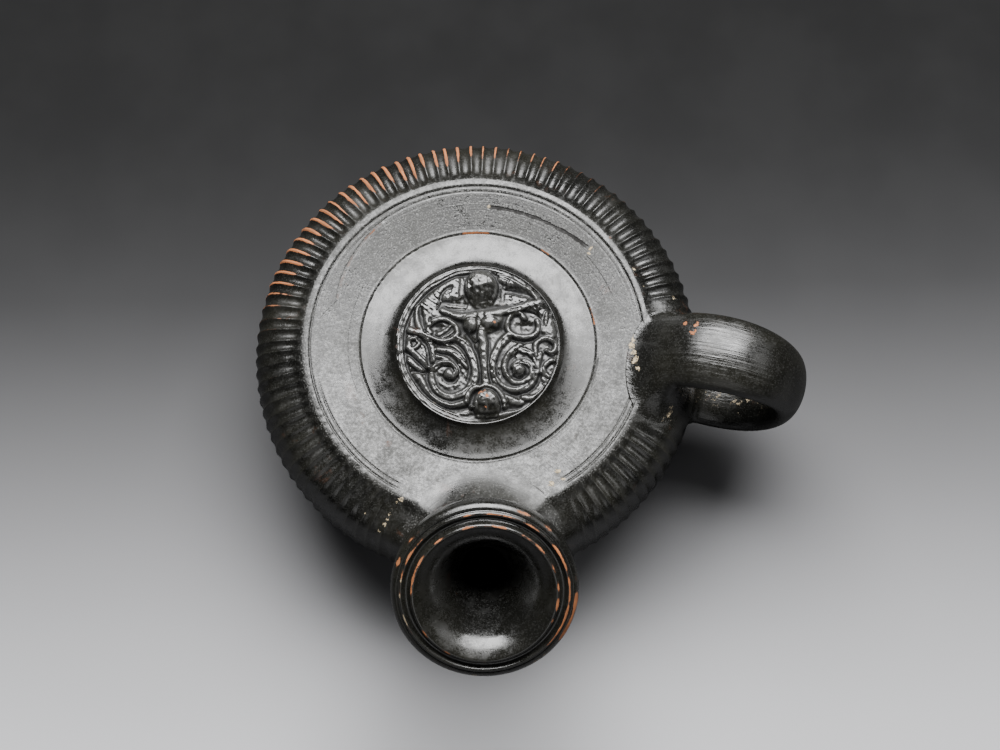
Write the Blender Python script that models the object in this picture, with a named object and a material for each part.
"""A guttus, a small black-glazed clay pouring vessel, in metres and +Z up.

It stands on its foot ring. The spout leans towards -Y and the ring handle stands out towards +X. The vessel is one
fired piece: a hollow body with flutes round its side and a relief medallion on its flat top, the spout with its
funnel mouth, and the handle. These are joined into one solid, and the inside and the bore are cut from it.
"""

import math

import bpy
import numpy as np

# Body
BODY_RADIUS = 0.0503
WIDEST_HEIGHT = 0.027
DISC_HEIGHT = 0.040
DISC_RADIUS = 0.0386
SHOULDER_FULLNESS = 2.4
WALL = 0.0038
BODY_SIDES = 52
CAVITY_SIDES = 32

# Foot ring
FOOT_RADIUS = 0.0295
FOOT_WIDTH = 0.0055
FOOT_HEIGHT = 0.0046
FOOT_RECESS = 0.0028

# Turned grooves on the top, and how far the top dips towards its middle
OUTER_GROOVE_INSET = 0.0013
INNER_GROOVE_GAP = 0.0039
GROOVE_WIDTH = 0.0012
GROOVE_DEPTH = 0.0005
DISC_DIP = 0.0015

# Flutes between narrow ribs
RIB_COUNT = 104
FLUTE_DEPTH = 0.0006
FLUTE_TOP_RUN = 0.0010
FLUTE_FOOT_MARGIN = 0.0070

# Medallion
MEDALLION_RADIUS = 0.0192
MEDALLION_RISE = 0.0022
MEDALLION_SLOPE = 0.0030
MEDALLION_RINGS = 20
MEDALLION_EDGE_WIDTH = 0.0011
FIELD_DROP = 0.0006
FIELD_DOME = 0.0010
RELIEF_HEIGHT = 0.0030

# Spout
SPOUT_AZIMUTH = math.radians(-89.7)
SPOUT_TILT = math.radians(34)
SPOUT_INSET = 0.0055
SPOUT_LENGTH = 0.0328
MOUTH_RADIUS = 0.0199
LIP_RADIUS = 0.0154
LIP_WIDTH = 0.0012
LIP_STEP = 0.0018
LIP_DEPTH = 0.0062
NECK_RADIUS = 0.0086
NECK_DROP = 0.0215
FUNNEL_DEPTH = 0.0150
FUNNEL_RADIUS = 0.0128
FUNNEL_BEVEL = 0.0022
SPOUT_ROOT_RUN = 0.0170
SPOUT_ROOT_WIDTH = 0.0200
SPOUT_SIDES = 32

# Handle: a ring of an oval strap, in an upright plane that is turned a little from the line of its roots
HANDLE_AZIMUTH = math.radians(-8.5)
HANDLE_RING_AZIMUTH = math.radians(-6.4)
HANDLE_PLANE = math.radians(-14.5)
HANDLE_RING_RADIUS = 0.0155
HANDLE_REACH = 0.0052
HANDLE_LIFT = 0.0045
STRAP_HALF_THICKNESS = 0.0040
STRAP_TOP_HALF_WIDTH = 0.0088
STRAP_BEND_HALF_WIDTH = 0.0074
STRAP_LOW_HALF_WIDTH = 0.0086
STRAP_TOP_ANGLE = math.radians(122)
STRAP_LOW_ANGLE = math.radians(-100)
HANDLE_TOP_INSET = 0.0038
HANDLE_LOW_DROP = 0.0110
HANDLE_ROOT_RUN = 0.0090
HANDLE_ROOT_WIDTH = 0.0135
HANDLE_SIDES = 16
HANDLE_STEPS = 15

# How the roots of spout and handle run out on the body
ROOT_SINK = 0.0003
ROOT_DEPTH = 0.0022
ROOT_STEPS = 5
FLUTE_FADE = 0.0040

TURN = 2 * math.pi
INNER_GROOVE_RADIUS = MEDALLION_RADIUS + MEDALLION_SLOPE + INNER_GROOVE_GAP
OUTER_GROOVE_RADIUS = DISC_RADIUS - OUTER_GROOVE_INSET
BORE_RADIUS = NECK_RADIUS - WALL


def clear_scene():
    for thing in list(bpy.data.objects):
        bpy.data.objects.remove(thing, do_unlink=True)


def glaze():
    """Black iron glaze with a soft gloss."""
    material = bpy.data.materials.new("black_glaze")
    material.use_nodes = True
    shader = material.node_tree.nodes["Principled BSDF"]
    shader.inputs["Base Color"].default_value = (0.016, 0.016, 0.013, 1)
    shader.inputs["Roughness"].default_value = 0.33
    shader.inputs["Metallic"].default_value = 0.0
    return material


def smoothstep(low, high, value):
    share = np.clip((value - low) / (high - low), 0, 1)
    return share * share * (3 - 2 * share)


def unit(vectors):
    return vectors / np.linalg.norm(vectors, axis=-1, keepdims=True)


def turned(radius, height, count):
    """A level ring of points."""
    angle = TURN * np.arange(count) / count
    return np.stack([radius * np.cos(angle), radius * np.sin(angle), np.full(count, height)], 1)


def plain_profile():
    """Radius and height of the body without grooves or flutes, from the middle of the top down to the foot.

    The shoulder is a quarter of a fuller oval than an ellipse, and the belly is a quarter ellipse.
    """
    quarter = np.linspace(0, math.pi / 2, 31)
    bulge = 2 / SHOULDER_FULLNESS
    top = [(0.0, DISC_HEIGHT - DISC_DIP), (INNER_GROOVE_RADIUS, DISC_HEIGHT - DISC_DIP)]
    shoulder = np.stack([DISC_RADIUS + (BODY_RADIUS - DISC_RADIUS) * np.sin(quarter)**bulge,
                         WIDEST_HEIGHT + (DISC_HEIGHT - WIDEST_HEIGHT) * abs(np.cos(quarter))**bulge], 1)
    belly = np.stack([FOOT_RADIUS + (BODY_RADIUS - FOOT_RADIUS) * np.cos(quarter),
                      WIDEST_HEIGHT - (WIDEST_HEIGHT - FOOT_HEIGHT) * np.sin(quarter)], 1)
    return np.concatenate([top, shoulder, belly[1:]])


PROFILE = plain_profile()
PROFILE_RUN = np.concatenate([[0], np.cumsum(np.linalg.norm(np.diff(PROFILE, axis=0), axis=1))])
SHOULDER_RUN = PROFILE_RUN[2]
WIDEST_RUN = PROFILE_RUN[PROFILE[:, 0].argmax()]
FOOT_RUN = PROFILE_RUN[-1]
SPOUT_RUN = SHOULDER_RUN + SPOUT_INSET
HANDLE_TOP_RUN = SHOULDER_RUN + HANDLE_TOP_INSET
HANDLE_LOW_RUN = WIDEST_RUN + HANDLE_LOW_DROP


def profile_at(run):
    """Radius and height of the plain body at a distance along its profile."""
    return np.interp(run, PROFILE_RUN, PROFILE[:, 0]), np.interp(run, PROFILE_RUN, PROFILE[:, 1])


def on_body(run, azimuth):
    """Points of the plain body, with the downhill direction along its profile and its outward normal."""
    step = 0.0015
    radius, height = profile_at(run)
    ahead, lower = profile_at(run + step)
    behind, upper = profile_at(run - step)
    out, down = ahead - behind, lower - upper
    size = np.hypot(out, down)
    out, down = out / size, down / size
    cosine, sine = np.cos(azimuth), np.sin(azimuth)
    point = np.stack([radius * cosine, radius * sine, height + 0 * azimuth], -1)
    downhill = np.stack([out * cosine, out * sine, down + 0 * azimuth], -1)
    normal = np.stack([-down * cosine, -down * sine, out + 0 * azimuth], -1)
    return point, downhill, normal


def footprint(run, azimuth, run_radius, width_radius, around):
    """The closed curve where a root runs out on the body, and the way into the root at each of its points.

    The curve is an ellipse drawn on the surface: along the profile by run_radius, sideways by width_radius.
    """
    runs = run - run_radius * np.cos(around)
    radius, _ = profile_at(np.full_like(around, run))
    azimuths = azimuth + width_radius * np.sin(around) / radius
    point, downhill, normal = on_body(runs, azimuths)
    sideways = np.stack([-np.sin(azimuths), np.cos(azimuths), 0 * azimuths], -1)
    inward = unit(downhill * (run_radius * np.cos(around))[:, None]
                  - sideways * (width_radius * np.sin(around))[:, None])
    return point, inward, normal


def root_rings(foot, end, end_direction, reach):
    """Rings that sweep up from a footprint on the body to a ring of the spout or strap, level with both ends.

    Each point follows a cubic curve that leaves the body along its surface and arrives along end_direction.
    """
    point, inward, normal = foot
    start = point - ROOT_SINK * normal
    rings = [point - ROOT_DEPTH * normal]
    length = np.linalg.norm(end - start, axis=1, keepdims=True)
    for share in np.arange(ROOT_STEPS) / ROOT_STEPS:
        stay, leave = 1 - 3 * share**2 + 2 * share**3, share - 2 * share**2 + share**3
        arrive, come = 3 * share**2 - 2 * share**3, share**3 - share**2
        rings.append(stay * start + leave * reach * length * inward + arrive * end
                     + come * reach * length * end_direction)
    return rings


def spout_frame():
    """The mouth's centre, the spout's axis, and the two directions across it: towards the disc, and sideways."""
    root, _, _ = on_body(np.array([SPOUT_RUN]), np.array([SPOUT_AZIMUTH]))
    away = np.array([math.cos(SPOUT_AZIMUTH), math.sin(SPOUT_AZIMUTH), 0.0])
    up = np.array([0.0, 0.0, 1.0])
    axis = math.sin(SPOUT_TILT) * away + math.cos(SPOUT_TILT) * up
    inward = math.sin(SPOUT_TILT) * up - math.cos(SPOUT_TILT) * away
    sideways = np.array([-away[1], away[0], 0.0])
    return root[0] + SPOUT_LENGTH * axis, axis, inward, sideways


def handle_frame():
    """The centre of the handle's ring, and the directions away from the body and across the strap."""
    away = np.array([math.cos(HANDLE_PLANE), math.sin(HANDLE_PLANE), 0.0])
    across = np.array([-away[1], away[0], 0.0])
    reach = BODY_RADIUS + HANDLE_REACH
    centre = np.array([reach * math.cos(HANDLE_RING_AZIMUTH), reach * math.sin(HANDLE_RING_AZIMUTH),
                       WIDEST_HEIGHT + HANDLE_LIFT])
    return centre, away, across


def flute_share(points):
    """How much of the flutes' depth is left: none under the roots of the spout and the handle."""
    share = np.ones(len(points))
    roots = ((SPOUT_RUN, SPOUT_AZIMUTH, SPOUT_ROOT_WIDTH),
             (HANDLE_TOP_RUN, HANDLE_AZIMUTH, HANDLE_ROOT_WIDTH),
             (HANDLE_LOW_RUN, HANDLE_AZIMUTH, HANDLE_ROOT_WIDTH))
    for run, azimuth, reach in roots:
        centre, _, _ = on_body(np.array([run]), np.array([azimuth]))
        away = np.linalg.norm(points - centre, axis=1)
        share *= smoothstep(reach, reach + FLUTE_FADE, away)
    return share


def fluted_ring(run, depth):
    """A ring of two points for each rib: one on its crest, one in the flute beside it."""
    count = 2 * RIB_COUNT
    azimuth = TURN * np.arange(count) / count
    point, _, normal = on_body(np.full(count, run), azimuth)
    sunk = depth * (np.arange(count) % 2) * flute_share(point)
    return point - sunk[:, None] * normal


def smooth_path(points, steps=6):
    """A smooth curve through a few points, as short straight pieces."""
    points = np.array(points, float)
    ends = np.concatenate([[2 * points[0] - points[1]], points, [2 * points[-1] - points[-2]]])
    share = (np.arange(steps) / steps)[:, None]
    pieces = []
    for before, start, end, after in zip(ends, ends[1:], ends[2:], ends[3:]):
        pieces.append(start + 0.5 * share * (end - before)
                      + share**2 * (before - 2.5 * start + 2 * end - 0.5 * after)
                      + share**3 * (1.5 * (start - end) + 0.5 * (after - before)))
    return np.concatenate(pieces + [points[-1:]])


def distance_to(spots, path):
    """The distance from each spot to a path of straight pieces, and how far along the path the nearest point lies."""
    start, step = path[:-1], np.diff(path, axis=0)
    offset = spots[:, None, :] - start
    share = np.clip((offset * step).sum(2) / np.maximum((step**2).sum(1), 1e-12), 0, 1)
    away = np.linalg.norm(offset - share[..., None] * step, axis=2)
    nearest = away.argmin(1)
    rows = np.arange(len(spots))
    return away[rows, nearest], (nearest + share[rows, nearest]) / len(step)


def ridge(spots, path, width, height, end_width=None):
    """A rounded ridge along a path. Its half width runs from width to end_width."""
    away, along = distance_to(spots, path)
    half = width + ((width if end_width is None else end_width) - width) * along
    return height * np.clip(1 - (away / half)**2, 0, 1)


def dome(spots, centre, half_width, half_height, height):
    """A rounded swelling on an oval."""
    share = ((spots - centre) / (half_width, half_height))**2
    return height * np.sqrt(np.clip(1 - share.sum(1), 0, 1))


def scroll():
    """The big spiral beside the figure: its radius shrinks from the hip to the eye as it turns under and up."""
    share = np.linspace(0, 1, 34)
    radius = 0.060 + 0.300 * (1 - share)**0.75
    angle = np.radians(20 - 330 * share)
    curve = np.stack([-0.405 + radius * np.cos(angle), -0.330 + radius * np.sin(angle)], 1)
    hip = np.array([[-0.300, 0.105], [-0.180, 0.040], [-0.110, -0.060]])
    return np.concatenate([hip, curve[1:]])


def relief(spots):
    """Height of the medallion's carving, as a share of RELIEF_HEIGHT, over spots given in medallion radii.

    A winged figure rises from a stem between two scrolls, with leaves at the sides and a small head below.
    """
    middle = np.array([0.04, 0.0])
    height = np.zeros(len(spots))

    def add(more):
        np.maximum(height, more, out=height)

    for side in (1, -1):
        local = (spots - middle) * (side, 1)
        for tip in ((-0.78, 0.50), (-0.64, 0.66), (-0.47, 0.78), (-0.27, 0.86)):
            add(ridge(local, np.array([(-0.16, 0.50), tip]), 0.06, 0.34, 0.12))
        add(ridge(local, smooth_path([(0, 0.40), (-0.20, 0.37), (-0.40, 0.43), (-0.60, 0.50)]), 0.075, 0.50, 0.05))
        add(ridge(local, scroll(), 0.062, 0.46, 0.055))
        add(dome(local, (-0.405, -0.330), 0.07, 0.07, 0.50))
        loop = np.linspace(math.radians(165), math.radians(-190), 20)
        add(ridge(local, np.stack([-0.46 + 0.155 * np.cos(loop), 0.215 + 0.155 * np.sin(loop)], 1), 0.05, 0.40))
        add(dome(local, (-0.46, 0.20), 0.07, 0.10, 0.22))
        add(ridge(local, smooth_path([(-0.80, 0.44), (-0.79, 0.22), (-0.66, 0.04), (-0.63, -0.20)]), 0.06, 0.30))
        add(ridge(local, smooth_path([(-0.86, 0.16), (-0.83, -0.06), (-0.74, -0.22), (-0.66, -0.36)]), 0.06, 0.28))
        add(dome(local, (-0.82, 0.06), 0.08, 0.08, 0.32))
        add(ridge(local, smooth_path([(-0.76, -0.36), (-0.62, -0.60), (-0.42, -0.74), (-0.16, -0.78)]), 0.07, 0.30))
        add(dome(local, (-0.10, 0.28), 0.115, 0.115, 0.66))
    local = spots - middle
    add(ridge(local, np.array([(0, 0.44), (0, 0.10)]), 0.13, 0.52, 0.16))
    add(ridge(local, np.array([(0, 0.16), (0, -0.46)]), 0.13, 0.44, 0.05))
    add(ridge(local, np.array([(0, 0.52), (0, 0.40)]), 0.09, 0.55))
    add(dome(local, (0.02, 0.695), 0.195, 0.225, 1.0))
    add(dome(local, (0.035, -0.735), 0.175, 0.175, 0.85))
    return height


def medallion_rings():
    """Rings of six more points each, from the middle to the medallion's raised edge, lifted by its carving."""
    top = DISC_HEIGHT - DISC_DIP + MEDALLION_RISE
    rings = []
    for number in range(MEDALLION_RINGS + 1):
        radius = MEDALLION_RADIUS * number / MEDALLION_RINGS
        ring = turned(radius, top, max(6 * number, 1))
        inside = smoothstep(MEDALLION_RADIUS, MEDALLION_RADIUS - 2 * MEDALLION_EDGE_WIDTH, radius)
        dome_share = 1 - (radius / MEDALLION_RADIUS)**2
        ring[:, 2] += inside * (FIELD_DOME * dome_share - FIELD_DROP
                                + RELIEF_HEIGHT * relief(ring[:, :2] / MEDALLION_RADIUS))
        rings.append(ring)
    return rings


def groove_rings(radius, height):
    """Three rings of a turned V groove."""
    half = GROOVE_WIDTH / 2
    return [turned(radius - half, height, BODY_SIDES), turned(radius, height - GROOVE_DEPTH, BODY_SIDES),
            turned(radius + half, height, BODY_SIDES)]


def body_rings():
    low = DISC_HEIGHT - DISC_DIP
    rings = medallion_rings()
    rings.append(turned(MEDALLION_RADIUS + MEDALLION_SLOPE, low + 0.15 * MEDALLION_RISE, BODY_SIDES))
    rings += groove_rings(INNER_GROOVE_RADIUS, low)
    height = np.interp(OUTER_GROOVE_RADIUS, PROFILE[:, 0][:3], PROFILE[:, 1][:3])
    rings += groove_rings(OUTER_GROOVE_RADIUS, height)
    start = SHOULDER_RUN + FLUTE_TOP_RUN
    end = FOOT_RUN - FLUTE_FOOT_MARGIN
    rings.append(fluted_ring(start, 0.0))
    for share in (0.15, 0.42, 0.70, 1.0):
        rings.append(fluted_ring(start + (WIDEST_RUN - start) * share, FLUTE_DEPTH))
    for share in (0.36, 0.70):
        rings.append(fluted_ring(WIDEST_RUN + (end - WIDEST_RUN) * share, FLUTE_DEPTH))
    inner = FOOT_RADIUS - FOOT_WIDTH
    for radius, height in (profile_at(end), (FOOT_RADIUS, FOOT_HEIGHT), (FOOT_RADIUS, 0), (inner, 0),
                           (inner, FOOT_RECESS)):
        rings.append(turned(radius, height, BODY_SIDES))
    rings.append(turned(0, FOOT_RECESS, 1))
    return rings


def cavity_rings():
    """The inside of the body: its outer profile moved in by the wall."""
    ceiling = DISC_HEIGHT - DISC_DIP - GROOVE_DEPTH - WALL
    floor = FOOT_RECESS + WALL
    rings = [turned(0, ceiling, 1), turned(INNER_GROOVE_RADIUS, ceiling, CAVITY_SIDES)]
    bulge = 2 / SHOULDER_FULLNESS
    for angle in np.radians((0, 30, 60, 90)):
        rings.append(turned(DISC_RADIUS + (BODY_RADIUS - DISC_RADIUS - WALL) * math.sin(angle)**bulge,
                            WIDEST_HEIGHT + (DISC_HEIGHT - WIDEST_HEIGHT - WALL) * abs(math.cos(angle))**bulge,
                            CAVITY_SIDES))
    for angle in np.radians((30, 60, 85)):
        rings.append(turned(FOOT_RADIUS + (BODY_RADIUS - FOOT_RADIUS - WALL) * math.cos(angle),
                            WIDEST_HEIGHT - (WIDEST_HEIGHT - FOOT_HEIGHT - WALL) * math.sin(angle),
                            CAVITY_SIDES))
    rings.append(turned(FOOT_RADIUS - FOOT_WIDTH, floor, CAVITY_SIDES))
    rings.append(turned(0, floor, 1))
    return rings


def spout_ring(drop, radius):
    """A ring round the spout's axis, this far below the mouth's lip."""
    mouth, axis, inward, sideways = spout_frame()
    around = TURN * np.arange(SPOUT_SIDES) / SPOUT_SIDES
    across = np.cos(around)[:, None] * inward + np.sin(around)[:, None] * sideways
    return mouth - drop * axis + radius * across


def spout_rings():
    """The spout from its root on the body, up its trumpet and over the stepped lip."""
    around = TURN * np.arange(SPOUT_SIDES) / SPOUT_SIDES
    foot = footprint(SPOUT_RUN, SPOUT_AZIMUTH, SPOUT_ROOT_RUN, SPOUT_ROOT_WIDTH, around)
    mouth, axis, _, _ = spout_frame()
    neck = spout_ring(NECK_DROP, NECK_RADIUS)
    root, _, normal = on_body(np.array([SPOUT_RUN]), np.array([SPOUT_AZIMUTH]))
    rings = [root - ROOT_DEPTH * normal]
    rings += root_rings(foot, neck, axis, 1.1)
    rings.append(neck)
    flare = MOUTH_RADIUS - NECK_RADIUS
    for share in (0.3, 0.6, 0.85):
        drop = NECK_DROP + (LIP_DEPTH - NECK_DROP) * share
        rings.append(spout_ring(drop, NECK_RADIUS + flare * share**2.2))
    step = (MOUTH_RADIUS - LIP_RADIUS) / 2
    for drop, radius in ((LIP_DEPTH, MOUTH_RADIUS - 0.5 * LIP_WIDTH),
                         (LIP_DEPTH - LIP_WIDTH, MOUTH_RADIUS), (LIP_STEP + 0.2 * LIP_WIDTH, MOUTH_RADIUS),
                         (0.6 * LIP_STEP, MOUTH_RADIUS - 0.5 * LIP_WIDTH), (LIP_STEP, MOUTH_RADIUS - LIP_WIDTH),
                         (0.55 * LIP_STEP, LIP_RADIUS + step), (0.8 * LIP_STEP, LIP_RADIUS + 0.45 * step),
                         (0, LIP_RADIUS)):
        rings.append(spout_ring(drop, radius))
    rings.append(mouth[None, :] - 0.5 * LIP_STEP * axis)
    return rings


def bore_rings():
    """The funnel and the bore below it, down into the hollow body."""
    mouth, axis, _, _ = spout_frame()
    end = SPOUT_LENGTH + 2 * WALL
    rings = [mouth[None, :] + LIP_STEP * axis, spout_ring(-LIP_STEP, LIP_RADIUS),
             spout_ring(0, LIP_RADIUS - 0.5 * LIP_WIDTH)]
    for share in (0, 0.4, 0.75, 1):
        radius = BORE_RADIUS + (FUNNEL_RADIUS - BORE_RADIUS) * (1 - share**1.4)
        rings.append(spout_ring(FUNNEL_BEVEL + (FUNNEL_DEPTH - FUNNEL_BEVEL) * share, radius))
    rings.append(spout_ring(SPOUT_LENGTH, BORE_RADIUS))
    rings.append(spout_ring(end, 1.25 * BORE_RADIUS))
    rings.append(mouth[None, :] - end * axis)
    return rings


def strap_ring(angle, half_width, around):
    """An oval section of the handle at an angle round its ring, and the direction of the strap there."""
    centre, away, across = handle_frame()
    up = np.array([0.0, 0.0, 1.0])
    out = math.cos(angle) * away + math.sin(angle) * up
    along = -math.sin(angle) * away + math.cos(angle) * up
    section = (centre + HANDLE_RING_RADIUS * out
               + (STRAP_HALF_THICKNESS * np.cos(around))[:, None] * out
               + (half_width * np.sin(around))[:, None] * across)
    return section, along


def handle_rings():
    """The handle from its root on the disc's edge, round its ring, to its root low on the side."""
    around = TURN * np.arange(HANDLE_SIDES) / HANDLE_SIDES
    top = footprint(HANDLE_TOP_RUN, HANDLE_AZIMUTH, HANDLE_ROOT_RUN, HANDLE_ROOT_WIDTH, around)
    low = footprint(HANDLE_LOW_RUN, HANDLE_AZIMUTH, -HANDLE_ROOT_RUN, HANDLE_ROOT_WIDTH, around)
    shares = np.linspace(0, 1, HANDLE_STEPS + 1)
    angles = STRAP_TOP_ANGLE + (STRAP_LOW_ANGLE - STRAP_TOP_ANGLE) * shares
    widths = np.interp(shares, (0, 0.2, 0.5, 0.8, 1), (STRAP_TOP_HALF_WIDTH, STRAP_TOP_HALF_WIDTH,
                       STRAP_BEND_HALF_WIDTH, STRAP_LOW_HALF_WIDTH, STRAP_LOW_HALF_WIDTH))
    strap = [strap_ring(angle, width, around) for angle, width in zip(angles, widths)]
    middles = []
    for run in (HANDLE_TOP_RUN, HANDLE_LOW_RUN):
        point, _, normal = on_body(np.array([run]), np.array([HANDLE_AZIMUTH]))
        middles.append(point - ROOT_DEPTH * normal)
    rings = [middles[0]] + root_rings(top, strap[0][0], -strap[0][1], 0.9)
    rings += [section for section, _ in strap]
    rings += root_rings(low, strap[-1][0], strap[-1][1], 0.9)[::-1] + [middles[1]]
    return rings


def zip_rings(first, second):
    """Triangles between two rings of any counts, stepping along whichever ring is behind."""
    count, other = len(first), len(second)
    i = j = 0
    faces = []
    while i < count or j < other:
        if j == other or (i < count and (i + 1) * other <= (j + 1) * count):
            if count > 1:
                faces.append((first[i % count], first[(i + 1) % count], second[j % other]))
            i += 1
        else:
            if other > 1:
                faces.append((first[i % count], second[(j + 1) % other], second[j % other]))
            j += 1
    return faces


def skin(name, rings, material):
    """A closed mesh through rings that start and end in a point, with its faces turned outwards."""
    points = np.concatenate(rings)
    starts = np.concatenate([[0], np.cumsum([len(ring) for ring in rings])])
    numbers = [list(range(low, high)) for low, high in zip(starts, starts[1:])]
    faces = np.array([face for pair in zip(numbers, numbers[1:]) for face in zip_rings(*pair)])
    corners = points[faces]
    if np.linalg.det(corners - points.mean(0)).sum() < 0:
        faces = faces[:, ::-1]
    mesh = bpy.data.meshes.new(name)
    mesh.from_pydata(points.tolist(), [], faces.tolist())
    mesh.materials.append(material)
    mesh.shade_smooth()
    mesh.set_sharp_from_angle(angle=math.radians(40))
    thing = bpy.data.objects.new(name, mesh)
    bpy.context.collection.objects.link(thing)
    return thing, points


def join(body, other, operation):
    """Adds another shape to the body or cuts it out, and keeps that shape as a hidden helper."""
    modifier = body.modifiers.new(other.name, "BOOLEAN")
    modifier.operation = operation
    modifier.object = other
    modifier.solver = "EXACT"
    other.hide_render = True
    other.display_type = "WIRE"


def main():
    clear_scene()
    material = glaze()
    body, body_points = skin("guttus", body_rings(), material)
    spout, spout_points = skin("spout_form", spout_rings(), material)
    handle, handle_points = skin("handle_form", handle_rings(), material)
    cavity, _ = skin("hollow", cavity_rings(), material)
    bore, _ = skin("bore", bore_rings(), material)
    join(body, spout, "UNION")
    join(body, handle, "UNION")
    join(body, cavity, "DIFFERENCE")
    join(body, bore, "DIFFERENCE")

    outer = np.concatenate([body_points, spout_points, handle_points])
    low, high = outer.min(0), outer.max(0)
    stand = bpy.data.objects.new("underside_middle", None)
    stand.location = (-(low[0] + high[0]) / 2, -(low[1] + high[1]) / 2, -low[2])
    bpy.context.collection.objects.link(stand)
    for thing in (body, spout, handle, cavity, bore):
        thing.parent = stand


main()
